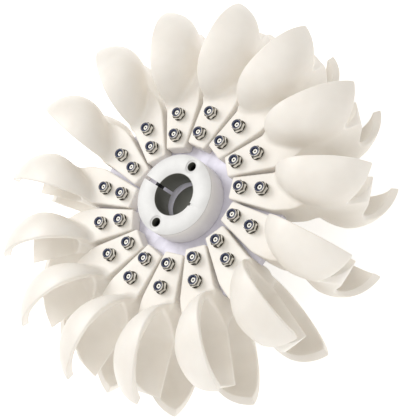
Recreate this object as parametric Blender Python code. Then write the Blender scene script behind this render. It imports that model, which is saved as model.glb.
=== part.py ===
"""Pelton runner of a small hydro generator, lying flat, metres, +Z up.

Fifteen moulded double-cup buckets are bolted round an aluminium disc. Each bucket has a forked stem
that straddles the disc, and two bosses clamp the disc's middle to the shaft. The runner's axis
is Z, the nut side of the bolts faces +Z, and the origin is on the axis, half way through the disc.
"""
import math

import bmesh
import bpy
from mathutils import Matrix, Vector

MM = 0.001
GAP = 0.3 * MM

# Wheel
BUCKETS = 15
PITCH = 2 * math.pi / BUCKETS
DISC_RADIUS = 95 * MM
DISC_THICKNESS = 8 * MM
DISC_SIDES = 72

# Bolt pairs, one pair for each bucket
OUTER_BOLT_RADIUS = 80 * MM
INNER_BOLT_RADIUS = 60 * MM
BOLT_TWIST = math.radians(3.08)
BOLT_HOLE_RADIUS = 3.3 * MM
BOLT_HOLE_SIDES = 8

# Hub bosses, one on each side of the disc
BORE_RADIUS = 19 * MM
HUB_RADIUS = 36.5 * MM
HUB_TOP = 26.7 * MM
HUB_SIDES = 48
SLIT_WIDTH = 3 * MM
SLIT_ANGLE = math.radians(51.5)
KEY_NOTCH = 2.5 * MM
HUB_SCREW_CIRCLE = 28.2 * MM
HUB_SCREW_RADIUS = 3.75 * MM
HUB_SCREW_SIDES = 12
HUB_SCREW_RECESS = 5 * MM

# Bucket stem, a fork that straddles the disc
STEM_HALF_THICKNESS = 16.3 * MM
STEM_INNER_END = -31.5 * MM
STEM_INNER_HALF_WIDTH = 9.5 * MM
STEM_SHOULDER = 13 * MM
STEM_SHOULDER_FRONT = 16.6 * MM
STEM_SHOULDER_BACK = -17.4 * MM
RIB_MIDDLE = (30 * MM, -15.3 * MM)
RIB_END = (50 * MM, -6 * MM)

# Bucket cups. Along the stem, x runs outwards from the outer bolt; y points out of the mouth;
# z is the wheel's axis. The rim and the splitter share one plane.
RIM_HEIGHT = 14.6 * MM
RIM_SLOPE = 0.088
CUP_HALF_WIDTH = 51.5 * MM
CUP_MIDDLE = 50 * MM
CUP_ROOT = 8 * MM
CUP_APEX = 106 * MM
CUP_ROOT_POWER = 2.2
CUP_TIP_POWER = 2.3
CUP_DEPTH = 34 * MM
DEPTH_MIDDLE = 60 * MM
DEPTH_ROOT = 2 * MM
DEPTH_APEX = 103 * MM
DEPTH_POWER = 2.0
WALL = 3.5 * MM
CAVITY_ROOT = 17 * MM
CAVITY_APEX = 98 * MM
CAVITY_DEPTH_APEX = 95.5 * MM
SPLITTER_LAND = 1.0 * MM
DEEPEST_LINE = 0.55
SADDLE = 0.14
OUTSIDE_LAST_STATION = 100.5 * MM
CAVITY_LAST_STATION = 94.5 * MM
CUP_STATIONS = 8
CUP_POINTS = 4

# Notch that lets the jet through between the two lobes
NOTCH_SPLITTER = 87.6 * MM
NOTCH_DEEPEST = 78 * MM
NOTCH_DEEPEST_Z = 17.5 * MM
NOTCH_CORNER = 98.5 * MM
NOTCH_HALF_WIDTH = 29.5 * MM
NOTCH_SEGMENTS = 8
TOOL_REACH = 60 * MM


def superellipse(x, middle, low, high, low_power, high_power):
    """Height from 0 to 1 of an oval that starts at low, peaks at middle and ends at high."""
    if x < middle:
        share, power = (middle - x) / (middle - low), low_power
    else:
        share, power = (x - middle) / (high - middle), high_power
    return (1 - min(max(share, 0.0), 1.0) ** power) ** (1 / power)


def rim_height(x):
    return RIM_HEIGHT + RIM_SLOPE * x


def outer_half_width(x):
    return CUP_HALF_WIDTH * superellipse(x, CUP_MIDDLE, CUP_ROOT, CUP_APEX,
                                         CUP_ROOT_POWER, CUP_TIP_POWER)


def inner_half_width(x):
    return (CUP_HALF_WIDTH - WALL) * superellipse(x, CUP_MIDDLE, CAVITY_ROOT, CAVITY_APEX,
                                                  CUP_ROOT_POWER, CUP_TIP_POWER)


def outer_depth(x):
    return CUP_DEPTH * superellipse(x, DEPTH_MIDDLE, DEPTH_ROOT, DEPTH_APEX,
                                    DEPTH_POWER, DEPTH_POWER)


def inner_depth(x):
    return (CUP_DEPTH - WALL) * superellipse(x, DEPTH_MIDDLE, CAVITY_ROOT, CAVITY_DEPTH_APEX,
                                             DEPTH_POWER, DEPTH_POWER)


def outer_section(x):
    """Closed outline of the double cup's outside at one station, flat along the rim plane."""
    width, depth, top = outer_half_width(x), outer_depth(x), rim_height(x)
    deepest = DEEPEST_LINE * width
    lobe = []
    for i in range(CUP_POINTS):
        turn = i / CUP_POINTS * math.pi / 2
        lobe.append((deepest + (width - deepest) * math.cos(turn), -depth * math.sin(turn)))
    for i in range(CUP_POINTS // 2 + 1):
        share = i / (CUP_POINTS // 2)
        rise = SADDLE * math.sin(share * math.pi / 2) ** 2
        lobe.append((deepest * (1 - share), -depth * (1 - rise)))
    far_side = [(-z, y) for z, y in reversed(lobe[:-1])]
    return [Vector((x, top + y, z)) for z, y in lobe + far_side]


def cavity_section(x, side):
    """Closed outline of one cup's hollow at one station, carried up past the rim plane."""
    width, depth, top = inner_half_width(x), inner_depth(x), rim_height(x)
    land = SPLITTER_LAND / 2
    width = max(width, land + GAP)
    points = []
    for i in range(CUP_POINTS + 3):
        turn = math.pi * i / (CUP_POINTS + 2)
        z = land + (width - land) * (1 + math.cos(turn)) / 2
        points.append(Vector((x, top - depth * math.sin(turn), side * z)))
    lid = top + CUP_DEPTH / 2
    points.append(Vector((x, lid, side * land)))
    points.append(Vector((x, lid, side * width)))
    return points


def stations(low, high, count):
    """Stations spaced like the foot of an arc at the low end, close together there."""
    return [high - (high - low) * math.cos(i / count * math.pi / 2) for i in range(count + 1)]


def loft(sections):
    """Closed solid through a list of outlines that all have the same number of points."""
    mesh = bmesh.new()
    rings = [[mesh.verts.new(point) for point in section] for section in sections]
    for ring, following in zip(rings, rings[1:]):
        for i in range(len(ring)):
            j = (i + 1) % len(ring)
            mesh.faces.new((ring[i], ring[j], following[j], following[i]))
    mesh.faces.new(rings[0])
    mesh.faces.new(rings[-1])
    bmesh.ops.recalc_face_normals(mesh, faces=mesh.faces)
    return mesh


def prism(outline, low, high, axis="Z"):
    """Closed solid from an outline, extruded from low to high along Z or along Y."""
    def place(a, b, height):
        return Vector((a, b, height)) if axis == "Z" else Vector((a, height, b))
    return loft([[place(a, b, height) for a, b in outline] for height in (low, high)])


def circle(radius, sides, centre=(0.0, 0.0)):
    turns = [2 * math.pi * i / sides for i in range(sides)]
    return [(centre[0] + radius * math.cos(t), centre[1] + radius * math.sin(t)) for t in turns]


def solid(name, mesh):
    """New object that holds a bmesh, which is freed."""
    data = bpy.data.meshes.new(name)
    mesh.to_mesh(data)
    mesh.free()
    item = bpy.data.objects.new(name, data)
    bpy.context.collection.objects.link(item)
    return item


def combine(target, tool, operation):
    """Boolean of two objects, applied to the first; the second is used up."""
    modifier = target.modifiers.new("combine", "BOOLEAN")
    modifier.operation = operation
    modifier.solver = "EXACT"
    modifier.object = tool
    graph = bpy.context.evaluated_depsgraph_get()
    result = bpy.data.meshes.new_from_object(target.evaluated_get(graph))
    target.modifiers.clear()
    target.data = result
    bpy.data.objects.remove(tool)


def material(name, hex_colour, roughness, metallic):
    def linear(value):
        return value / 12.92 if value <= 0.04045 else ((value + 0.055) / 1.055) ** 2.4
    made = bpy.data.materials.new(name)
    made.use_nodes = True
    shader = made.node_tree.nodes["Principled BSDF"]
    channels = [int(hex_colour[i:i + 2], 16) / 255 for i in (0, 2, 4)]
    shader.inputs["Base Color"].default_value = (*map(linear, channels), 1)
    shader.inputs["Roughness"].default_value = roughness
    shader.inputs["Metallic"].default_value = metallic
    return made


def finish(item, paint, smooth_angle):
    """Give a piece its material, and shade its round sides smooth."""
    item.data.materials.clear()
    item.data.materials.append(paint)
    item.data.shade_smooth()
    item.data.set_sharp_from_angle(angle=smooth_angle)


def bucket_frame():
    """Place of the bucket's own axes: origin on the outer bolt, x along the pair of bolts."""
    outer = Vector((OUTER_BOLT_RADIUS, 0))
    inner = Vector((INNER_BOLT_RADIUS * math.cos(BOLT_TWIST),
                    INNER_BOLT_RADIUS * math.sin(BOLT_TWIST)))
    along = outer - inner
    lean = math.atan2(along.y, along.x)
    place = Matrix.Translation((OUTER_BOLT_RADIUS, 0, 0)) @ Matrix.Rotation(lean, 4, "Z")
    return place, along.length


def stem_outline():
    return [(STEM_INNER_END, STEM_INNER_HALF_WIDTH), (STEM_INNER_END, -STEM_INNER_HALF_WIDTH),
            (STEM_SHOULDER, STEM_SHOULDER_BACK), RIB_MIDDLE, RIB_END,
            (STEM_SHOULDER, STEM_SHOULDER_FRONT)]


def notch_edge(z):
    """How far out the notch starts, at distance z from the splitter's plane."""
    if abs(z) < NOTCH_DEEPEST_Z:
        share = (1 + math.cos(math.pi * z / NOTCH_DEEPEST_Z)) / 2
        return NOTCH_DEEPEST + (NOTCH_SPLITTER - NOTCH_DEEPEST) * share
    share = (abs(z) - NOTCH_DEEPEST_Z) / (NOTCH_HALF_WIDTH - NOTCH_DEEPEST_Z)
    return NOTCH_DEEPEST + (NOTCH_CORNER - NOTCH_DEEPEST) * share ** 2


def notch_outline():
    outline = []
    for i in range(2 * NOTCH_SEGMENTS + 1):
        z = NOTCH_HALF_WIDTH * (i / NOTCH_SEGMENTS - 1)
        outline.append((notch_edge(z), z))
    return outline + [(CUP_APEX + WALL, NOTCH_HALF_WIDTH + WALL),
                      (CUP_APEX + WALL, -NOTCH_HALF_WIDTH - WALL)]


def bucket_shape():
    """One bucket in its own frame."""
    place, bolt_spacing = bucket_frame()
    outside = [outer_section(x) for x in stations(CUP_ROOT + GAP, OUTSIDE_LAST_STATION, CUP_STATIONS)]
    bucket = solid("bucket", loft(outside))
    stem = prism(stem_outline(), -STEM_HALF_THICKNESS, STEM_HALF_THICKNESS)
    combine(bucket, solid("stem", stem), "UNION")
    for side in (1, -1):
        hollow = [cavity_section(x, side)
                  for x in stations(CAVITY_ROOT + GAP, CAVITY_LAST_STATION, CUP_STATIONS)]
        combine(bucket, solid("cavity", loft(hollow)), "DIFFERENCE")
    notch = prism(notch_outline(), -TOOL_REACH, TOOL_REACH, axis="Y")
    combine(bucket, solid("notch", notch), "DIFFERENCE")
    slot_half = DISC_THICKNESS / 2 + GAP
    axis_place = place.inverted() @ Vector((0, 0, 0))
    slot = prism(circle(DISC_RADIUS + GAP, DISC_SIDES, axis_place.xy), -slot_half, slot_half)
    combine(bucket, solid("slot", slot), "DIFFERENCE")
    for x in (0.0, -bolt_spacing):
        hole = prism(circle(BOLT_HOLE_RADIUS, BOLT_HOLE_SIDES, (x, 0)), -TOOL_REACH, TOOL_REACH)
        combine(bucket, solid("bolt_hole", hole), "DIFFERENCE")
    return bucket


def make_buckets(plastic):
    place, _ = bucket_frame()
    first = bucket_shape()
    finish(first, plastic, math.radians(35))
    for number in range(BUCKETS):
        item = first if number == 0 else bpy.data.objects.new("bucket", first.data)
        if number:
            bpy.context.collection.objects.link(item)
        item.name = f"bucket_{number + 1:02d}"
        item.matrix_world = Matrix.Rotation(-number * PITCH, 4, "Z") @ place


def make_disc(metal):
    disc = solid("runner_disc", prism(circle(DISC_RADIUS, DISC_SIDES),
                                      -DISC_THICKNESS / 2, DISC_THICKNESS / 2))
    bore = prism(circle(BORE_RADIUS, HUB_SIDES), -TOOL_REACH, TOOL_REACH)
    combine(disc, solid("bore", bore), "DIFFERENCE")
    holes = bmesh.new()
    spots = [(OUTER_BOLT_RADIUS, 0.0), (INNER_BOLT_RADIUS, BOLT_TWIST)]
    for number in range(BUCKETS):
        for radius, lead in spots:
            turn = lead - number * PITCH
            centre = (radius * math.cos(turn), radius * math.sin(turn))
            add_prism(holes, circle(BOLT_HOLE_RADIUS, BOLT_HOLE_SIDES, centre))
    for centre in hub_screw_centres():
        add_prism(holes, circle(HUB_SCREW_RADIUS + GAP, HUB_SCREW_SIDES, centre))
    combine(disc, solid("holes", holes), "DIFFERENCE")
    finish(disc, metal, math.radians(40))


def add_prism(mesh, outline):
    """Add one long upright prism to a bmesh of cutting tools."""
    rings = [[mesh.verts.new((a, b, height)) for a, b in outline]
             for height in (-TOOL_REACH, TOOL_REACH)]
    count = len(outline)
    for i in range(count):
        j = (i + 1) % count
        mesh.faces.new((rings[0][i], rings[0][j], rings[1][j], rings[1][i]))
    mesh.faces.new(list(reversed(rings[0])))
    mesh.faces.new(rings[1])


def hub_screw_centres():
    """The two screws stand square to the slit, on either side of the bore."""
    turns = [SLIT_ANGLE + math.pi / 2, SLIT_ANGLE - math.pi / 2]
    return [(HUB_SCREW_CIRCLE * math.cos(t), HUB_SCREW_CIRCLE * math.sin(t)) for t in turns]


def make_hub(name, side, metal):
    """A boss on one face of the disc, with its clamping slit and the key notch opposite."""
    low, high = sorted((side * (DISC_THICKNESS / 2 + GAP), side * HUB_TOP))
    hub = solid(name, prism(circle(HUB_RADIUS, HUB_SIDES), low, high))
    bore = prism(circle(BORE_RADIUS, HUB_SIDES), -TOOL_REACH, TOOL_REACH)
    combine(hub, solid("bore", bore), "DIFFERENCE")
    half = SLIT_WIDTH / 2
    slit = [(0, -half), (TOOL_REACH, -half), (TOOL_REACH, half), (0, half)]
    notch_half, notch_end = KEY_NOTCH / 2, -(BORE_RADIUS + KEY_NOTCH)
    notch = [(notch_end, -notch_half), (0, -notch_half), (0, notch_half), (notch_end, notch_half)]
    for outline in (slit, notch):
        tool = solid("slit", prism(outline, -TOOL_REACH, TOOL_REACH))
        tool.matrix_world = Matrix.Rotation(SLIT_ANGLE, 4, "Z")
        combine(hub, tool, "DIFFERENCE")
    holes = bmesh.new()
    for centre in hub_screw_centres():
        add_prism(holes, circle(HUB_SCREW_RADIUS + GAP, HUB_SCREW_SIDES, centre))
    combine(hub, solid("screw_holes", holes), "DIFFERENCE")
    finish(hub, metal, math.radians(40))


def make_hub_screws(steel):
    """Clamping screws that run through both bosses and the disc, heads sunk below the faces."""
    reach = HUB_TOP - HUB_SCREW_RECESS
    for number, centre in enumerate(hub_screw_centres(), start=1):
        outline = circle(HUB_SCREW_RADIUS, HUB_SCREW_SIDES, centre)
        screw = solid(f"hub_screw_{number}", prism(outline, -reach, reach))
        finish(screw, steel, math.radians(40))


def main():
    for item in list(bpy.data.objects):
        bpy.data.objects.remove(item, do_unlink=True)
    plastic = material("moulded_white_nylon", "F1ECE4", 0.38, 0.0)
    disc_metal = material("anodised_aluminium_disc", "E6E4EA", 0.45, 0.6)
    hub_metal = material("machined_aluminium_hub", "E8E8E6", 0.35, 0.8)
    black_steel = material("black_oxide_steel", "26262A", 0.5, 0.6)
    make_buckets(plastic)
    make_disc(disc_metal)
    make_hub("hub_front", 1, hub_metal)
    make_hub("hub_rear", -1, hub_metal)
    make_hub_screws(black_steel)


main()
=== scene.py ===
# %% [markdown]
# # A Pelton runner, dressed from its plain solids
# A Pelton runner is the wheel of a small hydro generator. Fifteen moulded double-cup buckets are
# bolted round an aluminium disc, and two bosses clamp the disc to the shaft. The plain solids are
# already packed, and this lesson gives each of them the fine shape and finish of the real piece.

# %% Load the frame
import math

import bmesh
import bpy
import numpy as np
from mathutils import Matrix, Vector


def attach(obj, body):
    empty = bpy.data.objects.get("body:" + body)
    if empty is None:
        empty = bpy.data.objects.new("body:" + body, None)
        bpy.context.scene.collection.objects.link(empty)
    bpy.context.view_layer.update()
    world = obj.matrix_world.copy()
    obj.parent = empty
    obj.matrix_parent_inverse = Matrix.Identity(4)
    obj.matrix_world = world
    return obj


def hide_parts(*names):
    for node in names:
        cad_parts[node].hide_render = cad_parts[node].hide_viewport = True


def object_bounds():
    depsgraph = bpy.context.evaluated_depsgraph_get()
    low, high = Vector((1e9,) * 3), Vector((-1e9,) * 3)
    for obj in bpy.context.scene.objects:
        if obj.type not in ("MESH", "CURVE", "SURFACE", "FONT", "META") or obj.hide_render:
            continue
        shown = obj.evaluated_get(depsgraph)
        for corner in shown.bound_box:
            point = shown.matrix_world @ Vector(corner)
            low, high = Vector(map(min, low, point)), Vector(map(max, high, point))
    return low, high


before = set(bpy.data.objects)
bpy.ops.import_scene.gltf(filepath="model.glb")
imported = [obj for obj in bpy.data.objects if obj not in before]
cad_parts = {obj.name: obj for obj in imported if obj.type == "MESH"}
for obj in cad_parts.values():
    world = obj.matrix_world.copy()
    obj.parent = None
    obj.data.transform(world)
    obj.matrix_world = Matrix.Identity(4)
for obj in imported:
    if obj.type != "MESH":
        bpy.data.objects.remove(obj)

plain_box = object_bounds()
print("plain solids:", len(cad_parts), "box", [round(c, 4) for corner in plain_box for c in corner])

# %% [markdown]
# ## Camera
# The photo was taken from above, a little to one side, with a short telephoto view. Thirty nuts
# on two known circles give enough points to work out where the camera stood and how long its
# lens was. The focal length is written for Blender's usual 36 mm sensor.

# %% Camera where the photographer stood
camera_data = bpy.data.cameras.new("photo_camera")
camera_data.sensor_width = 36
camera_data.lens = 92.88
camera = bpy.data.objects.new("photo_camera", camera_data)
camera.location = (-0.35574, -0.43694, 0.75897)
camera.rotation_euler = [math.radians(turn) for turn in (21.779, 29.359, -90.13)]
bpy.context.scene.collection.objects.link(camera)
bpy.context.scene.camera = camera
print("camera", round(camera.location.length, 3), "m from the runner's middle")

# %% [markdown]
# ## Sizes
# Everything is written in millimetres, as a workshop drawing would be, and turned to metres in
# the mesh. The sizes repeat those of the plain solids, so that each fine piece fits its place.

# %% Driving sizes
MM = 0.001
BUCKETS = 15
PITCH = 2 * math.pi / BUCKETS
DISC_RADIUS = 95.0
DISC_HALF = 4.0
OUTER_BOLTS = 80.0
INNER_BOLTS = 60.0
BOLT_LEAD = math.radians(3.08)
BORE_RADIUS = 19.0
HUB_RADIUS = 36.5
HUB_TOP = 26.7
SLIT_TURN = math.radians(51.5)
SCREW_CIRCLE = 28.2
SCREW_RADIUS = 3.75
FLANGE_FACE = 16.3
GAP = 0.3
print("pitch of the buckets", round(math.degrees(PITCH), 2), "degrees")

# %% [markdown]
# ## Bucket: the shape as a field
# Each bucket is one injection moulding: two cups side by side, a knife-like splitter between
# them, a notch that lets the water jet through, and a stem that grips the disc. Its parts run
# into each other with soft fillets. Boxes and loops of edges make such blends hard, so the
# bucket is written as a field instead: a number at each point in space that is below zero inside
# the plastic. Two fields are blended with a smooth minimum, which leaves a fillet.
#
# In the bucket's own axes x runs outwards from the outer bolt, y points out of the cups' mouths
# and z runs along the wheel's axis.

# %% Rules that the cups follow
CUP_HALF_WIDTH = 51.5
CUP_DEPTH = 34.0
WALL = 3.5
RIM_HEIGHT = 14.6
RIM_SLOPE = 0.088
CUP_ROOT, CUP_MIDDLE, CUP_APEX = 9.5, 50.0, 106.0
DEPTH_MIDDLE, DEPTH_APEX = 60.0, 103.0
CAVITY_ROOT, CAVITY_APEX, CAVITY_DEPTH_APEX = 20.5, 98.0, 95.5
CAVITY_ROOT_Z = 27.0
SPLITTER_SHARP = 42.0
SPLITTER_HALF_LAND = 0.5
DEEPEST_LINE = 0.55
SADDLE = 0.14


def oval(x, low, middle, high, low_power, high_power):
    """Height from 0 to 1 of an oval that starts at low, peaks at middle and ends at high."""
    before = np.clip((middle - x) / (middle - low), 0, 1)
    after = np.clip((x - middle) / (high - middle), 0, 1)
    rise = (1 - before ** low_power) ** (1 / low_power)
    fall = (1 - after ** high_power) ** (1 / high_power)
    return np.maximum(np.where(x < middle, rise, fall), 0.01)


def rim_height(x):
    return RIM_HEIGHT + RIM_SLOPE * x


def cup_outside(x, y, z):
    """Zero on the outer skin of the double cup, below the plane of its rim."""
    width = CUP_HALF_WIDTH * oval(x, CUP_ROOT, CUP_MIDDLE, CUP_APEX, 2.3, 2.3)
    depth = CUP_DEPTH * oval(x, CUP_ROOT, DEPTH_MIDDLE, DEPTH_APEX, 1.5, 2.0)
    deepest = DEEPEST_LINE * width
    below = np.maximum(rim_height(x) - y, 0)
    saddle = 1 - SADDLE * np.sin((1 - np.clip(z / deepest, 0, 1)) * math.pi / 2) ** 2
    sideways = np.maximum(z - deepest, 0) / (width - deepest)
    skin = np.hypot(sideways, below / (depth * saddle)) - 1
    return np.where((x > CUP_ROOT) & (x < CUP_APEX), skin, 1.0)


def cup_inside(x, y, z):
    """Zero on the wetted skin of one cup, an oval bowl between the splitter and the rim."""
    foot = np.where(x < CUP_MIDDLE, CAVITY_ROOT_Z, 0)
    rise = oval(x, CAVITY_ROOT, CUP_MIDDLE, CAVITY_APEX, 1.4, 2.3)
    far_side = foot + (CUP_HALF_WIDTH - WALL - foot) * rise
    narrowing = oval(np.minimum(x, SPLITTER_SHARP), CAVITY_ROOT, SPLITTER_SHARP, CAVITY_APEX, 1.4, 1)
    near_side = CAVITY_ROOT_Z - (CAVITY_ROOT_Z - SPLITTER_HALF_LAND) * narrowing
    depth = (CUP_DEPTH - WALL) * oval(x, CAVITY_ROOT, DEPTH_MIDDLE, CAVITY_DEPTH_APEX, 1.8, 2.0)
    half = np.maximum(far_side - near_side, 0.5) / 2
    below = np.maximum(rim_height(x) - y, 0)
    skin = np.hypot((z - (far_side + near_side) / 2) / half, below / depth) - 1
    return np.where((x > CAVITY_ROOT) & (x < CAVITY_APEX), skin, 1.0)


print("cup", 2 * CUP_HALF_WIDTH, "mm wide over both lobes,", CUP_DEPTH, "mm deep")

# %% Rules that the notch follows
NOTCH_SPLITTER = 87.6
NOTCH_DEEPEST = 78.0
NOTCH_DEEPEST_Z = 17.5
NOTCH_CORNER = 98.5
NOTCH_HALF_WIDTH = 29.5
NOTCH_FLARE = 11.0 / 3.5


def notch_edge(z):
    """How far out the notch starts: a W whose middle is the splitter's end."""
    middle = (1 + np.cos(math.pi * np.minimum(z, NOTCH_DEEPEST_Z) / NOTCH_DEEPEST_Z)) / 2
    outer = (np.clip(z, NOTCH_DEEPEST_Z, NOTCH_HALF_WIDTH) - NOTCH_DEEPEST_Z)
    outer = (outer / (NOTCH_HALF_WIDTH - NOTCH_DEEPEST_Z)) ** 2
    edge = NOTCH_DEEPEST + (NOTCH_SPLITTER - NOTCH_DEEPEST) * middle
    edge = edge + (NOTCH_CORNER - NOTCH_DEEPEST) * outer
    return edge + NOTCH_FLARE * np.maximum(z - NOTCH_HALF_WIDTH, 0)


def notch_side(x, z):
    """Distance to the notch's cut face, below zero on the side that stays."""
    step = 0.1
    slope = (notch_edge(z + step) - notch_edge(np.maximum(z - step, 0))) / (2 * step)
    return (x - notch_edge(z)) / np.hypot(slope, 1)


print("the notch leaves", NOTCH_SPLITTER, "mm of splitter beyond the outer bolt")

# %% Rules that the stem follows
STEM_OUTLINE = [(-31.5, 9.5), (-31.5, -9.5), (13.0, -17.4), (30.0, -15.3), (50.0, -6.0), (13.0, 16.6)]
STEM_ROUND = 1.6


def smooth_max(a, b, soft):
    """The larger of two fields, with the edge where they cross rounded over about soft mm."""
    share = np.clip(0.5 + 0.5 * (a - b) / soft, 0, 1)
    return a * share + b * (1 - share) + soft * share * (1 - share)


def smooth_min(a, b, soft):
    return -smooth_max(-a, -b, soft)


def stem_side(x, y, z):
    """Distance to the stem, a convex outline in x and y with flat faces along the axis."""
    distance = z - FLANGE_FACE
    for (x0, y0), (x1, y1) in zip(STEM_OUTLINE, STEM_OUTLINE[1:] + STEM_OUTLINE[:1]):
        length = math.hypot(x1 - x0, y1 - y0)
        outward = ((y1 - y0) * (x - x0) - (x1 - x0) * (y - y0)) / length
        distance = smooth_max(distance, outward, STEM_ROUND)
    return distance


print("stem", 2 * FLANGE_FACE, "mm thick")

# %% The whole bucket as one field
CUP_FILLET = 6.0
RIM_ROUND = 1.3
SOFT_ROOT = 3.0
NOTCH_ROUND = 1.0
CUP_HEART = (55.0, 13.4, 0.0)
BOWL_HEART = (58.0, 13.0, 23.0)


def beyond(shape, heart, x, y, z):
    """Millimetres beyond a rounded shape, along the line from its heart, found by halving."""
    out = (x - heart[0], y - heart[1], z - heart[2])
    length = np.sqrt(out[0] ** 2 + out[1] ** 2 + out[2] ** 2)
    low = np.zeros_like(length)
    high = np.full_like(length, 4.0)
    for _ in range(13):
        share = (low + high) / 2
        outside = shape(*(centre + share * along for centre, along in zip(heart, out))) > 0
        high = np.where(outside, share, high)
        low = np.where(outside, low, share)
    return length * (1 - (low + high) / 2)


def bucket_field(x, y, z):
    z = np.abs(z)
    cup = smooth_max(beyond(cup_outside, CUP_HEART, x, y, z), y - rim_height(x), RIM_ROUND)
    whole = smooth_min(cup, stem_side(x, y, z), CUP_FILLET)
    edge = RIM_ROUND + SOFT_ROOT * np.clip((45 - x) / 25, 0, 1)
    whole = smooth_max(whole, -beyond(cup_inside, BOWL_HEART, x, y, z), edge)
    return smooth_max(whole, notch_side(x, z), NOTCH_ROUND)


print("field at the stem's middle", round(float(bucket_field(*np.zeros((3, 1)))[0]), 2), "mm")

# %% [markdown]
# ## Bucket: from field to mesh
# A surface net turns a field into quads. Space is cut into small cells, each cell that the
# surface passes through gets one vertex, and each grid edge that it crosses joins the four cells
# round it with a quad. The vertices are then pushed along the field's slope until they lie on
# the true surface, and Decimate keeps triangles only where the shape curves.

# %% Surface net
def surface_net(field, axes):
    """Vertices and outward quads of the surface where the field is zero."""
    rings = []
    points = []
    for along in range(3):
        one, two = np.eye(3, dtype=int)[[(along + 1) % 3, (along + 2) % 3]]
        low = np.delete(field, -1, axis=along)
        high = np.delete(field, 0, axis=along)
        crossed = (low < 0) != (high < 0)
        spot = np.argwhere(crossed)
        point = np.stack([axes[i][spot[:, i]] for i in range(3)], axis=1)
        spacing = np.diff(axes[along])[spot[:, along]]
        point[:, along] += spacing * low[crossed] / (low[crossed] - high[crossed])
        around = [spot - one - two, spot - two, spot, spot - one]
        ring = np.stack([np.ravel_multi_index(cell.T, field.shape) for cell in around], axis=1)
        inward = low[crossed] >= 0
        ring[inward] = ring[inward][:, ::-1]
        rings.append(ring)
        points.append(np.repeat(point, 4, axis=0))
    owner = np.concatenate(rings).ravel()
    points = np.concatenate(points)
    cells, place = np.unique(owner, return_inverse=True)
    place = place.ravel()
    count = np.bincount(place)
    vertices = np.stack([np.bincount(place, points[:, i]) / count for i in range(3)], axis=1)
    return vertices, place.reshape(-1, 4)


def onto_surface(field, vertices, rounds=3):
    """Push vertices along the field's slope until the field is zero there."""
    step = 0.05
    for _ in range(rounds):
        x, y, z = vertices.T
        slope = np.stack([field(x + step, y, z) - field(x - step, y, z),
                          field(x, y + step, z) - field(x, y - step, z),
                          field(x, y, z + step) - field(x, y, z - step)], axis=1) / (2 * step)
        steep = np.maximum((slope ** 2).sum(axis=1), 0.1)
        push = np.clip(field(x, y, z) / steep, -0.4, 0.4)
        vertices = vertices - slope * push[:, None]
    return vertices


def spaced(low, high, step):
    return np.linspace(low, high, round((high - low) / step) + 1)


CELL = 0.75
SPLITTER_CELL = 0.4
side_steps = spaced(2.4, 53.4, CELL)
across = np.concatenate([-side_steps[::-1], spaced(-2.4, 2.4, SPLITTER_CELL)[1:-1], side_steps])
axes = [spaced(-33.0, 102.0, CELL), spaced(-21.0, 27.0, CELL), across]
grid = np.meshgrid(*axes, indexing="ij", sparse=True)
bucket_points, bucket_quads = surface_net(bucket_field(*grid), axes)
bucket_points = onto_surface(bucket_field, bucket_points)
print("net of", len(bucket_quads), "quads, from", bucket_points.min(axis=0).round(2), "to",
      bucket_points.max(axis=0).round(2))

# %% Helpers that make and finish a mesh
def new_piece(name, mesh):
    """An object in the scene that holds a mesh, at the origin."""
    if isinstance(mesh, bmesh.types.BMesh):
        data = bpy.data.meshes.new(name)
        mesh.to_mesh(data)
        mesh.free()
        mesh = data
    piece = bpy.data.objects.new(name, mesh)
    bpy.context.scene.collection.objects.link(piece)
    return piece


def made_solid(piece):
    """Replace a piece's mesh by what its modifiers make of it."""
    graph = bpy.context.evaluated_depsgraph_get()
    result = bpy.data.meshes.new_from_object(piece.evaluated_get(graph))
    piece.modifiers.clear()
    old = piece.data
    piece.data = result
    bpy.data.meshes.remove(old)
    return piece


def triangles(piece):
    return sum(len(face.vertices) - 2 for face in piece.data.polygons)


KEPT_TRIANGLES = 36000
mesh = bpy.data.meshes.new("moulding")
mesh.from_pydata((bucket_points * MM).tolist(), [], bucket_quads.tolist())
moulding = new_piece("moulding", mesh)
thin = moulding.modifiers.new("thin", "DECIMATE")
thin.ratio = KEPT_TRIANGLES / triangles(moulding)
made_solid(moulding)
print("moulding of", triangles(moulding), "triangles")

# %% [markdown]
# ## Bucket: what is cut after moulding
# The slot that straddles the disc and the two bolt holes are flat and crisp, so they are cut
# with exact Booleans, after the soft shape is thinned. The cutters are turned shapes, and the
# same small lathe makes the disc, the bosses and the fasteners further down.

# %% A small lathe
def turned(profile, sides, centre=(0.0, 0.0), closed=True):
    """Solid of revolution about Z from (radius, height) points in mm. A radius of 0 is a pole."""
    shape = bmesh.new()
    rings = []
    for radius, height in profile:
        count = sides if radius else 1
        spots = [2 * math.pi * (i + 0.5) / sides for i in range(count)]
        rings.append([shape.verts.new(((centre[0] + radius * math.cos(t)) * MM,
                                       (centre[1] + radius * math.sin(t)) * MM,
                                       height * MM)) for t in spots])
    pairs = list(zip(rings, rings[1:]))
    if closed:
        pairs.append((rings[-1], rings[0]))
    for first, second in pairs:
        for i in range(sides):
            j = (i + 1) % sides
            corners = [first[i % len(first)], first[j % len(first)],
                       second[j % len(second)], second[i % len(second)]]
            shape.faces.new(list(dict.fromkeys(corners)))
    bmesh.ops.recalc_face_normals(shape, faces=shape.faces)
    return shape


def plug(radius, low, high, sides, centre=(0.0, 0.0)):
    """A plain cylinder, for cutting."""
    return turned([(0, low), (radius, low), (radius, high), (0, high)], sides, centre, closed=False)


def bar(low, high):
    """A plain box between two corners in mm, for cutting."""
    shape = bmesh.new()
    bmesh.ops.create_cube(shape, size=1)
    for vertex in shape.verts:
        share = [c + 0.5 for c in vertex.co]
        vertex.co = [MM * (a + (b - a) * s) for a, b, s in zip(low, high, share)]
    return shape


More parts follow.
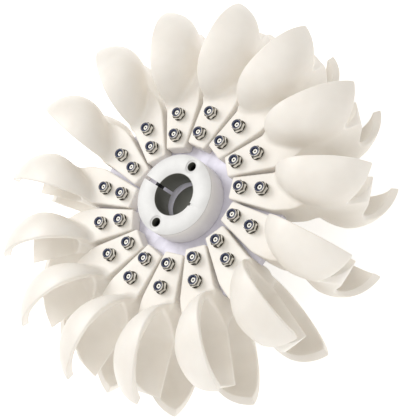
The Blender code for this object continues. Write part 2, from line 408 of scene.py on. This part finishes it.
def join(shapes):
    """Several bmeshes as one."""
    whole = bmesh.new()
    for shape in shapes:
        data = bpy.data.meshes.new("part")
        shape.to_mesh(data)
        shape.free()
        whole.from_mesh(data)
        bpy.data.meshes.remove(data)
    return whole


def cut(piece, shape, operation="DIFFERENCE", place=None):
    """Apply an exact Boolean to a piece, and throw the tool away."""
    tool = new_piece("tool", shape)
    if place is not None:
        tool.data.transform(place)
    modifier = piece.modifiers.new("cut", "BOOLEAN")
    modifier.operation = operation
    modifier.object = tool
    made_solid(piece)
    bpy.data.objects.remove(tool)
    return piece


print("lathe ready")

# %% Slot and bolt holes
REACH = 60.0
BOLT_HOLE = 3.3
outer_bolt = Vector((OUTER_BOLTS, 0))
inner_bolt = INNER_BOLTS * Vector((math.cos(BOLT_LEAD), math.sin(BOLT_LEAD)))
along = outer_bolt - inner_bolt
bucket_place = (Matrix.Translation((OUTER_BOLTS * MM, 0, 0))
                @ Matrix.Rotation(math.atan2(along.y, along.x), 4, "Z"))
moulding.data.transform(bucket_place)
cut(moulding, plug(DISC_RADIUS + GAP, -DISC_HALF - GAP, DISC_HALF + GAP, 144))
holes = [plug(BOLT_HOLE, -REACH, REACH, 24, spot) for spot in (outer_bolt, inner_bolt)]
cut(moulding, join(holes))
moulding.data.shade_smooth()
moulding.data.set_sharp_from_angle(angle=math.radians(38))
print("bucket", triangles(moulding), "triangles, bolts", round(along.length, 2), "mm apart")

# %% [markdown]
# ## Materials
# Every finish is a small node tree. One function adds a node with its settings and links, and
# one turns the sRGB hex values that are read off the photo into the linear colours that the
# renderer works in. Patterns follow Object coordinates, which are metres here, so a texture's
# scale is one over the pattern's real size.

# %% Node and colour helpers
def linear(hex_colour):
    """Linear RGBA of an sRGB hex value."""
    channels = [int(hex_colour[i:i + 2], 16) / 255 for i in (0, 2, 4)]
    return [c / 12.92 if c <= 0.04045 else ((c + 0.055) / 1.055) ** 2.4 for c in channels] + [1.0]


def feed(node, inputs):
    """Give a node's inputs their values. A value may be the output socket of another node."""
    for name, value in inputs.items():
        if isinstance(value, bpy.types.NodeSocket):
            node.id_data.links.new(value, node.inputs[name])
        else:
            node.inputs[name].default_value = value


def add_node(tree, kind, inputs, output=0, **settings):
    """Add a node, feed it, and return the output that the next node takes."""
    made = tree.nodes.new(kind)
    for name, value in settings.items():
        setattr(made, name, value)
    feed(made, inputs)
    return made.outputs[output]


def finish(name, first, second, cloud_mm, satin, grain_mm, grain_depth):
    """A material that drifts between two tones and has a fine grain in its gloss and its skin."""
    made = bpy.data.materials.new(name)
    made.use_nodes = True
    tree = made.node_tree
    where = add_node(tree, "ShaderNodeTexCoord", {}, "Object")
    cloud = add_node(tree, "ShaderNodeTexNoise", {"Vector": where, "Scale": 1 / (cloud_mm * MM),
                                                  "Detail": 3.0})
    cloud = add_node(tree, "ShaderNodeMapRange", {"Value": cloud, "From Min": 0.3, "From Max": 0.7})
    tone = add_node(tree, "ShaderNodeMix", {0: cloud, 6: linear(first), 7: linear(second)},
                    output=2, data_type="RGBA")
    grain = add_node(tree, "ShaderNodeTexNoise", {"Vector": where, "Scale": 1 / (grain_mm * MM)})
    gloss = add_node(tree, "ShaderNodeMapRange", {"Value": grain, "From Min": 0.3, "From Max": 0.7,
                                                  "To Min": satin[0], "To Max": satin[1]})
    skin = add_node(tree, "ShaderNodeBump", {"Height": grain, "Distance": grain_depth * MM})
    shader = tree.nodes["Principled BSDF"]
    feed(shader, {"Base Color": tone, "Roughness": gloss, "Normal": skin})
    return made, tree, shader, where, tone, skin


print("paint helpers ready")

# %% [markdown]
# ### Injection-moulded nylon
# The buckets are nylon in its natural cream white. The steel mould was spark eroded, which
# leaves a very fine satin grain, and thick nylon lets a little light in, so its shadows are warm
# and soft. As it cools it shrinks unevenly, which leaves slow, faint waves in the skin. The
# grain is really under 0.1 mm, and is drawn at 0.9 mm so that it shows at all.

# %% Moulded nylon
moulded_nylon, tree, shader, where, _, skin = finish(
    "injection_moulded_nylon", "F4F0E9", "ECE7DF", 30, (0.38, 0.46), 0.9, 0.012)
feed(shader, {"IOR": 1.53, "Subsurface Weight": 0.12, "Subsurface Radius": (1.0, 0.85, 0.7),
              "Subsurface Scale": 0.002})
sink = add_node(tree, "ShaderNodeTexNoise", {"Vector": where, "Scale": 1 / (14 * MM), "Detail": 1.0})
waves = add_node(tree, "ShaderNodeBump", {"Height": sink, "Distance": 0.2 * MM})
feed(skin.node, {"Normal": waves})
print(moulded_nylon.name, "with", len(tree.nodes), "nodes")

# %% [markdown]
# ### Aluminium, turned and anodised
# The disc and the bosses are aluminium. The disc is blasted and anodised in its natural silver,
# a matt film that looks almost lavender white beside the cream plastic. The bosses are turned on
# a lathe, and the tool's fine rings still show round the axis. Their sides are painted a lighter
# tone than their faces, as painted light on sides that lie in shade. The real rings are about
# 0.1 mm apart, too fine for the picture, and are drawn 0.7 mm apart. The bore and its edge, the
# key notch and the walls of the screw holes are painted dark and a little green, as painted shade
# in these recesses.

# %% Anodised aluminium
anodised, tree, shader, *_ = finish(
    "anodised_aluminium", "DEDCE8", "D6D4DF", 18, (0.5, 0.58), 0.8, 0.008)
feed(shader, {"Metallic": 0.35})
print(anodised.name)

# %% Turned aluminium, with painted shade in the holes and sides painted lighter than the face
RING_STEP = 0.7
FACE_STARTS = 26.2
SIDE_LIGHT_ENDS = 25.8
FADE = 0.2
SCREW_SHADE = 4.2
BORE_SHADE = 21.6
BORE_LIP = 19.2
turned_aluminium, tree, shader, where, tone, skin = finish(
    "turned_aluminium", "CFCFCE", "C8C8C7", 12, (0.46, 0.54), 0.8, 0.004)
flat = add_node(tree, "ShaderNodeVectorMath", {0: where, 1: (1.0, 1.0, 0.0)}, operation="MULTIPLY")
radius = add_node(tree, "ShaderNodeVectorMath", {0: flat}, output="Value", operation="LENGTH")
line = add_node(tree, "ShaderNodeCombineXYZ", {"X": radius})
rings = add_node(tree, "ShaderNodeTexNoise", {"Vector": line, "Scale": 1 / (RING_STEP * MM), "Detail": 1.0})
rings = add_node(tree, "ShaderNodeBump", {"Height": rings, "Distance": 0.005 * MM})
feed(skin.node, {"Normal": rings})
# Painted shade: the masks below paint the bore and its edge, the key notch and the screw holes' walls dark,
# below the face.
sunk = add_node(tree, "ShaderNodeVectorRotate", {"Vector": where, "Angle": -SLIT_TURN},
                rotation_type="Z_AXIS")
sunk = add_node(tree, "ShaderNodeVectorMath", {0: sunk}, operation="ABSOLUTE")
height = add_node(tree, "ShaderNodeSeparateXYZ", {"Vector": sunk}, "Z")
on_face = add_node(tree, "ShaderNodeMapRange", {"Value": height, "From Min": FACE_STARTS * MM,
                                                "From Max": (FACE_STARTS + FADE) * MM})
sunk = add_node(tree, "ShaderNodeVectorMath", {0: sunk, 1: (0.0, SCREW_CIRCLE * MM, 0.0)},
                operation="SUBTRACT")
sunk = add_node(tree, "ShaderNodeVectorMath", {0: sunk, 1: (1.0, 1.0, 0.0)}, operation="MULTIPLY")
sunk = add_node(tree, "ShaderNodeVectorMath", {0: sunk}, output="Value", operation="LENGTH")
off_screws = add_node(tree, "ShaderNodeMapRange", {"Value": sunk, "From Min": SCREW_SHADE * MM,
                                                   "From Max": (SCREW_SHADE + FADE / 2) * MM})
off_bore = add_node(tree, "ShaderNodeMapRange", {"Value": radius, "From Min": BORE_SHADE * MM,
                                                 "From Max": (BORE_SHADE + FADE) * MM})
unshaded = add_node(tree, "ShaderNodeMath", {0: off_screws, 1: off_bore}, operation="MINIMUM")
unshaded = add_node(tree, "ShaderNodeMath", {0: unshaded, 1: on_face}, operation="MAXIMUM")
lip = add_node(tree, "ShaderNodeMapRange", {"Value": radius, "From Min": BORE_LIP * MM,
                                            "From Max": (BORE_LIP + FADE / 2) * MM})
unshaded = add_node(tree, "ShaderNodeMath", {0: unshaded, 1: lip}, operation="MINIMUM")
# Painted light: below the face, the sides get a lighter tone than the face, to light sides that lie in
# shade.
painted_side_light = add_node(tree, "ShaderNodeMapRange", {"Value": height, "From Min": SIDE_LIGHT_ENDS * MM,
                                               "From Max": (SIDE_LIGHT_ENDS + FADE) * MM})
tone = add_node(tree, "ShaderNodeMix", {0: painted_side_light, 6: linear("F2F1F1"), 7: tone}, output=2,
                data_type="RGBA")
painted_hole_shade = add_node(tree, "ShaderNodeMix", {0: unshaded, 6: linear("66675F"), 7: tone}, output=2,
                 data_type="RGBA")
feed(shader, {"Metallic": 0.35, "Base Color": painted_hole_shade})
print(turned_aluminium.name, "with", len(tree.nodes), "nodes")

# %% [markdown]
# ### Fasteners
# The nuts, washers and bolts are stainless steel, cold formed and tumbled, so their faces are
# bright but a little uneven. Bands of painted shade lie at the heights of the creases above and
# below each washer and round the nut's collar, and the band at the collar also dims the bright
# reflection on the bolt ends. The bolt heads at the back have no collar, and the painted shade
# stops short of their ends. A lock nut holds a ring of blue nylon that grips the thread.
# The bosses' clamping screws are steel with a black oxide skin.

# %% Steel and blue nylon
HEAD_SHADE_END = 21.2
stainless, tree, shader, where, tone, _ = finish(
    "tumbled_stainless_steel", "ECEBE7", "DCDAD4", 2.5, (0.14, 0.22), 1.2, 0.004)
# Painted shade: dark bands by height in the creases round each washer and below the nut's collar. The
# collar band also dims the bolt ends' reflection.
height = add_node(tree, "ShaderNodeSeparateXYZ", {"Vector": where}, "Z")
height = add_node(tree, "ShaderNodeMath", {0: height, 1: -HEAD_SHADE_END * MM}, operation="MAXIMUM")
height = add_node(tree, "ShaderNodeMath", {0: height}, operation="ABSOLUTE")
height = add_node(tree, "ShaderNodeMapRange", {"Value": height, "From Min": FLANGE_FACE * MM,
                                               "From Max": 24.3 * MM})
crease_shade = add_node(tree, "ShaderNodeValToRGB", {"Fac": height})
bands = [(0.0, "5C5850"), (0.05, "FFFFFF"), (0.16, "FFFFFF"), (0.19, "4E4A44"), (0.24, "524E48"),
         (0.30, "FFFFFF"), (0.62, "FFFFFF"), (0.69, "4A4640"), (0.80, "B0B0AE"), (0.84, "FFFFFF")]
ramp = crease_shade.node.color_ramp.elements
for place, shade in bands[2:]:
    ramp.new(place)
for stop, (place, shade) in zip(ramp, bands):
    stop.position = place
    stop.color = linear(shade)
shaded_tone = add_node(tree, "ShaderNodeMix", {0: 1.0, 6: tone, 7: crease_shade}, output=2, data_type="RGBA",
                blend_type="MULTIPLY")
feed(shader, {"Metallic": 1.0, "Base Color": shaded_tone})
blue_nylon, tree, shader, *_ = finish(
    "blue_nylon_insert", "1E2644", "2C365A", 1.5, (0.4, 0.55), 0.6, 0.02)
feed(shader, {"IOR": 1.53})
black_oxide, tree, shader, *_ = finish(
    "black_oxide_steel", "18181A", "29292C", 2.0, (0.42, 0.58), 0.7, 0.01)
feed(shader, {"Metallic": 1.0})
print(stainless.name, blue_nylon.name, black_oxide.name)

# %% [markdown]
# ## Fifteen buckets from one
# The wheel's maker moulds one bucket fifteen times and bolts each at its own angle. A Geometry
# Nodes tree does the same: it takes the moulding, turns it about the axis by a named angle,
# makes it real and gives it its material. Each result is a piece of its own, because each
# bucket can be taken off by itself.

# %% Tree that turns a moulding into place
def new_tree(name, sockets):
    """A Geometry Nodes tree with named inputs. Each socket is (name, kind, default)."""
    made = bpy.data.node_groups.new(name, "GeometryNodeTree")
    made.interface.new_socket("Geometry", in_out="OUTPUT", socket_type="NodeSocketGeometry")
    for title, kind, default in sockets:
        socket = made.interface.new_socket(title, in_out="INPUT", socket_type="NodeSocket" + kind)
        if default is not None:
            socket.default_value = default
    return made, made.nodes.new("NodeGroupInput").outputs


def end_tree(tree, geometry, material):
    """Realize what was made, give it its material and send it out."""
    real = add_node(tree, "GeometryNodeRealizeInstances", {"Geometry": geometry})
    coated = add_node(tree, "GeometryNodeSetMaterial", {"Geometry": real, "Material": material})
    feed(tree.nodes.new("NodeGroupOutput"), {"Geometry": coated})


def grown(name, tree, values):
    """Run a tree on an empty mesh and keep the result as a plain mesh."""
    piece = new_piece(name, bpy.data.meshes.new(name))
    modifier = piece.modifiers.new(name, "NODES")
    modifier.node_group = tree
    for item in tree.interface.items_tree:
        if item.in_out == "INPUT" and item.name in values:
            modifier[item.identifier] = values[item.name]
    return made_solid(piece)


turn_tree, given = new_tree("bucket_on_wheel", [("Moulding", "Object", None), ("Turn", "Float", 0.0),
                                                ("Material", "Material", None)])
source = add_node(turn_tree, "GeometryNodeObjectInfo", {"Object": given["Moulding"]}, "Geometry")
turn = add_node(turn_tree, "ShaderNodeCombineXYZ", {"Z": given["Turn"]})
placed = add_node(turn_tree, "GeometryNodeTransform", {"Geometry": source, "Rotation": turn})
end_tree(turn_tree, placed, given["Material"])
print("inputs:", [item.name for item in turn_tree.interface.items_tree if item.in_out == "INPUT"])

# %% Buckets
def keep(piece, slot, *nodes):
    """Attach a finished piece to the root body, and hide the plain solids that it replaces."""
    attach(piece, "root")
    if nodes:
        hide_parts(*nodes)
    return piece


for number in range(BUCKETS):
    bucket = grown(f"moulded_bucket_{number + 1:02d}", turn_tree,
                   {"Moulding": moulding, "Turn": -number * PITCH, "Material": moulded_nylon})
    keep(bucket, "bucket_nylon", f"bucket_{number + 1:02d}")
bpy.data.objects.remove(moulding)
print(BUCKETS, "buckets,", BUCKETS * triangles(bucket), "triangles")

# %% [markdown]
# ## Disc and bosses
# Both are turned parts: a profile spun round the axis, then drilled, and the bosses sawn through
# on one side so that they clamp the shaft when their screws are tightened. The front boss has a
# notch for the shaft's key opposite its slit, and the rear boss is turned round, so that its slit
# lies in line with the key. The edges are broken with a narrow chamfer, as any turned part's
# are, which catches a thin bright line.

# %% Broken edges
def break_edges(piece, width_mm, angle=35):
    """A narrow chamfer along every sharp edge."""
    chamfer = piece.modifiers.new("chamfer", "BEVEL")
    chamfer.width = width_mm * MM
    chamfer.segments = 2
    chamfer.angle_limit = math.radians(angle)
    made_solid(piece)
    piece.data.shade_smooth()
    piece.data.set_sharp_from_angle(angle=math.radians(32))
    return piece


def painted(piece, material):
    piece.data.materials.clear()
    piece.data.materials.append(material)
    return piece


bolt_spots = []
for number in range(BUCKETS):
    for radius, lead in ((OUTER_BOLTS, 0.0), (INNER_BOLTS, BOLT_LEAD)):
        at = lead - number * PITCH
        bolt_spots.append((radius * math.cos(at), radius * math.sin(at)))
print(len(bolt_spots), "bolt holes")

# %% Disc
screw_turns = (SLIT_TURN + math.pi / 2, SLIT_TURN - math.pi / 2)
screw_spots = [(SCREW_CIRCLE * math.cos(t), SCREW_CIRCLE * math.sin(t)) for t in screw_turns]
disc = new_piece("turned_disc", turned([(BORE_RADIUS, -DISC_HALF), (DISC_RADIUS, -DISC_HALF),
                                        (DISC_RADIUS, DISC_HALF), (BORE_RADIUS, DISC_HALF)], 180))
holes = [plug(BOLT_HOLE, -REACH, REACH, 24, spot) for spot in bolt_spots]
holes += [plug(SCREW_RADIUS + GAP, -REACH, REACH, 32, spot) for spot in screw_spots]
cut(disc, join(holes))
painted(break_edges(disc, 0.4), anodised)
keep(disc, "disc_aluminium", "runner_disc")
print("disc", triangles(disc), "triangles")

# %% Bosses
SLIT_HALF = 1.5
KEY_HALF = 1.25
KEY_DEPTH = 2.5
SPOTFACE_RADIUS = 5.8
SPOTFACE_DEPTH = 0.45
for name, side, turn in (("front", 1, SLIT_TURN), ("rear", -1, SLIT_TURN + math.pi)):
    foot, face = side * (DISC_HALF + GAP), side * HUB_TOP
    boss = new_piece(f"turned_boss_{name}", turned([(BORE_RADIUS, foot), (HUB_RADIUS, foot),
                                                    (HUB_RADIUS, face), (BORE_RADIUS, face)], 144))
    about_axis = Matrix.Rotation(turn, 4, "Z")
    cut(boss, bar((0, -SLIT_HALF, -REACH), (REACH, SLIT_HALF, REACH)), place=about_axis)
    if side > 0:
        notch = bar((-BORE_RADIUS - KEY_DEPTH, -KEY_HALF, -REACH), (0, KEY_HALF, REACH))
        cut(boss, notch, place=about_axis)
    holes = [plug(SCREW_RADIUS + GAP, -REACH, REACH, 32, spot) for spot in screw_spots]
    cut(boss, join(holes))
    sunk = sorted((side * (HUB_TOP - SPOTFACE_DEPTH), side * (HUB_TOP + 1)))
    cut(boss, join([plug(SPOTFACE_RADIUS, *sunk, 48, spot) for spot in screw_spots]))
    painted(break_edges(boss, 0.2), turned_aluminium)
    keep(boss, "hub_aluminium", f"hub_{name}")
print("boss", triangles(boss), "triangles")

# %% [markdown]
# ## Black block in the slit
# A short black block stands in the front boss's slit, level with the face and the bore, and shows
# as a black bar: a dark thing put where the slit's deep shade is, as painted shade. It is a plain
# block of oxidised steel with broken edges, a sliding fit.

# %% Black block that stands for the slit's shade
BLOCK_LENGTH = 8.4
BLOCK_REACH = 3.6
BLOCK_SLACK = 0.04
block_low = (BORE_RADIUS + BLOCK_SLACK, BLOCK_SLACK - SLIT_HALF, HUB_TOP - BLOCK_LENGTH)
block_high = (BORE_RADIUS + BLOCK_REACH, SLIT_HALF - BLOCK_SLACK, HUB_TOP - BLOCK_SLACK)
# Painted shade: this black block stands where the slit's deep shade is.
slit_key = new_piece("slit_key", bar(block_low, block_high))
slit_key.data.transform(Matrix.Rotation(SLIT_TURN, 4, "Z"))
painted(break_edges(slit_key, 0.15), black_oxide)
keep(slit_key, "black_steel")
print("key of", triangles(slit_key), "triangles")

# %% [markdown]
# ## Clamping screws
# Two long socket screws run through both bosses. Their heads sit below the face, so all that
# shows is a dark hole with a hexagon socket at its bottom.

# %% Screws with a hexagon socket at each end
SCREW_TOP = HUB_TOP - 5
SCREW_EDGE = 0.5
SOCKET_RADIUS = 2.3
SOCKET_DEPTH = 3.0
for number, spot in enumerate(screw_spots, start=1):
    outline = [(0, -SCREW_TOP), (SCREW_RADIUS - SCREW_EDGE, -SCREW_TOP),
               (SCREW_RADIUS, SCREW_EDGE - SCREW_TOP), (SCREW_RADIUS, SCREW_TOP - SCREW_EDGE),
               (SCREW_RADIUS - SCREW_EDGE, SCREW_TOP), (0, SCREW_TOP)]
    screw = new_piece(f"clamping_screw_{number}", turned(outline, 32, spot, closed=False))
    sockets = [plug(SOCKET_RADIUS, *sorted((side * (SCREW_TOP - SOCKET_DEPTH), side * HUB_TOP)), 6, spot)
               for side in (1, -1)]
    cut(screw, join(sockets))
    screw.data.shade_smooth()
    screw.data.set_sharp_from_angle(angle=math.radians(30))
    painted(screw, black_oxide)
    keep(screw, "black_steel", f"hub_screw_{number}")
print("screws", triangles(screw), "triangles each")

# %% [markdown]
# ## Lock nuts, washers and bolts
# Thirty M6 bolts hold the buckets, with lock nuts on this side. A nut starts as hexagon bar, and
# a lathe turns the corners off and forms the round collar that holds the nylon ring. The mesh is
# made the same way: a turned blank, cut to a hexagon by a Boolean. A hexagon is a six-sided
# cylinder, so its flats lie at the cosine of 30 degrees times its radius.

# %% One of each fastener, standing on z = 0
ACROSS_FLATS = 10.0
HEX_RADIUS = ACROSS_FLATS / 2 / math.cos(math.pi / 6)


def hexagonal(name, profile, closed=True):
    """A turned blank of 48 sides, cut from hexagon bar."""
    blank = new_piece(name, turned(profile, 48, closed=closed))
    return cut(blank, plug(HEX_RADIUS, -REACH, REACH, 6), "INTERSECT")


def smooth(piece, angle=28):
    piece.data.shade_smooth()
    piece.data.set_sharp_from_angle(angle=math.radians(angle))
    return piece


WASHER = 1.6
NUT_HEIGHT = 6.0
nut = smooth(hexagonal("nut", [
    (3.05, 0.0), (4.9, 0.0), (5.8, 0.7), (5.8, 3.6), (4.85, 4.2), (4.6, 4.4), (4.7, 5.4),
    (4.62, 5.75), (4.45, 5.95), (4.28, 6.0), (4.18, 5.92), (4.15, 5.75), (4.15, 4.6), (3.05, 4.6)]))
insert = smooth(new_piece("insert", turned([
    (2.75, 4.2), (3.0, 4.2), (3.0, 4.65), (4.1, 4.65), (4.1, 5.6), (3.95, 5.72), (3.0, 5.72),
    (2.75, 5.5)], 40)), 60)
washer = smooth(new_piece("washer", turned([
    (3.2, 0.0), (5.75, 0.0), (6.0, 0.25), (6.0, 1.35), (5.75, 1.6), (3.2, 1.6)], 40)), 50)
HEAD_HEIGHT = 4.0
head = hexagonal("head", [(0, 0.0), (4.9, 0.0), (5.1, 0.1), (5.8, 0.4), (5.8, 3.5), (4.9, 4.0),
                          (4.4, 4.0), (4.2, 3.85), (0, 3.85)], closed=False)
smooth(head)
BOLT_END = 22.3
shank_low = -FLANGE_FACE - WASHER - 0.5
shank = smooth(new_piece("shank", turned([
    (0, shank_low), (3.0, shank_low), (3.0, BOLT_END - 0.9), (2.1, BOLT_END), (0.9, BOLT_END),
    (0.6, BOLT_END - 0.4), (0, BOLT_END - 0.5)], 32, closed=False)), 40)
for kind in (nut, insert, washer, head, shank):
    print(kind.name, triangles(kind), "triangles")

# %% [markdown]
# The bolts stand on two circles of fifteen, and the inner circle is turned a few degrees ahead.
# A Geometry Nodes tree draws both circles, one point a bolt, and puts a fastener on each point
# with its own random spin, because nobody lines up nuts when tightening them.

# %% Tree that sets fasteners round the bolt circles
ring_tree, given = new_tree("bolt_circles", [
    ("Fastener", "Object", None), ("Count", "Int", BUCKETS), ("Outer Radius", "Float", 0.08),
    ("Inner Radius", "Float", 0.06), ("Lead", "Float", 0.0), ("Height", "Float", 0.0),
    ("Tip Over", "Float", 0.0), ("Spin", "Float", 1.0), ("Seed", "Int", 3),
    ("Material", "Material", None)])
outer_circle = add_node(ring_tree, "GeometryNodeMeshCircle", {"Vertices": given["Count"],
                                                              "Radius": given["Outer Radius"]})
inner_circle = add_node(ring_tree, "GeometryNodeMeshCircle", {"Vertices": given["Count"],
                                                              "Radius": given["Inner Radius"]})
lead = add_node(ring_tree, "ShaderNodeCombineXYZ", {"Z": given["Lead"]})
inner_circle = add_node(ring_tree, "GeometryNodeTransform", {"Geometry": inner_circle, "Rotation": lead})
circles = add_node(ring_tree, "GeometryNodeJoinGeometry", {"Geometry": outer_circle})
feed(circles.node, {"Geometry": inner_circle})
height = add_node(ring_tree, "ShaderNodeCombineXYZ", {"Z": given["Height"]})
circles = add_node(ring_tree, "GeometryNodeTransform", {"Geometry": circles, "Translation": height})
spin = add_node(ring_tree, "FunctionNodeRandomValue", {2: 0.0, 3: given["Spin"], "Seed": given["Seed"]},
                output=1, data_type="FLOAT")
turn = add_node(ring_tree, "ShaderNodeCombineXYZ", {"X": given["Tip Over"], "Z": spin})
source = add_node(ring_tree, "GeometryNodeObjectInfo", {"Object": given["Fastener"], "As Instance": True},
                  "Geometry")
copies = add_node(ring_tree, "GeometryNodeInstanceOnPoints", {"Points": circles, "Instance": source,
                                                              "Rotation": turn})
end_tree(ring_tree, copies, given["Material"])
print("tree of", len(ring_tree.nodes), "nodes")

# %% Fasteners in place
settings = {"Count": BUCKETS, "Outer Radius": OUTER_BOLTS * MM, "Inner Radius": INNER_BOLTS * MM,
            "Lead": BOLT_LEAD, "Spin": math.pi / 3}
washer_face = FLANGE_FACE + WASHER
rows = [
    ("lock_nuts", nut, washer_face, 0.0, 3, stainless, "stainless_fasteners"),
    ("nylon_inserts", insert, washer_face, 0.0, 3, blue_nylon, "nylon_locking_ring"),
    ("front_washers", washer, FLANGE_FACE, 0.0, 5, stainless, "stainless_fasteners"),
    ("rear_washers", washer, -FLANGE_FACE, math.pi, 6, stainless, "stainless_fasteners"),
    ("bolt_heads", head, -washer_face, math.pi, 7, stainless, "stainless_fasteners"),
    ("bolt_shanks", shank, 0.0, 0.0, 8, stainless, "stainless_fasteners")]
for name, kind, height, tip, seed, material, slot in rows:
    row = grown(name, ring_tree, {**settings, "Fastener": kind, "Height": height * MM, "Tip Over": tip,
                                  "Seed": seed, "Material": material})
    keep(row, slot)
    print(name, triangles(row), "triangles")
for kind in (nut, insert, washer, head, shank):
    bpy.data.objects.remove(kind)

# %% [markdown]
# ## Studio
# The photo is a cut-out on pure white, lit softly from the upper left. A light table does this
# in a studio: a glowing white floor under the object, big soft lamps beside and above it, and
# white all round. The floor glows just enough to swallow the object's shadow.

# %% Floor, lamps and surroundings
FLOOR_SIZE = 4.0
floor_shape = bmesh.new()
bmesh.ops.create_grid(floor_shape, x_segments=1, y_segments=1, size=FLOOR_SIZE / 2)
floor = new_piece("light_table", floor_shape)
floor.location.z = plain_box[0].z - 0.0005
opal, tree, shader, _, tone, _ = finish(
    "opal_acrylic", "F4F4F4", "FFFFFF", 200, (0.65, 0.75), 5, 0.01)
feed(shader, {"Emission Color": tone, "Emission Strength": 0.45})
painted(floor, opal)


def soft_lamp(name, place, size, power):
    """A square area lamp that faces the runner."""
    data = bpy.data.lights.new(name, "AREA")
    data.size = size
    data.energy = power
    lamp = bpy.data.objects.new(name, data)
    lamp.location = place
    lamp.rotation_euler = (-Vector(place)).to_track_quat("-Z", "Y").to_euler()
    bpy.context.scene.collection.objects.link(lamp)
    return lamp


soft_lamp("key", (0.75, 0.95, 1.3), 0.9, 12.5)
soft_lamp("fill", (-1.3, -0.1, 0.7), 1.2, 3)
soft_lamp("overhead", (-0.15, -0.2, 1.8), 1.2, 5)
world = bpy.data.worlds.new("white_surroundings")
world.use_nodes = True
sky = world.node_tree.nodes["Background"]
feed(sky, {"Color": linear("FFFCF8"), "Strength": 0.63})
bpy.context.scene.world = world
bpy.context.scene.view_settings.view_transform = "Standard"
print("floor at z", round(floor.location.z, 4))
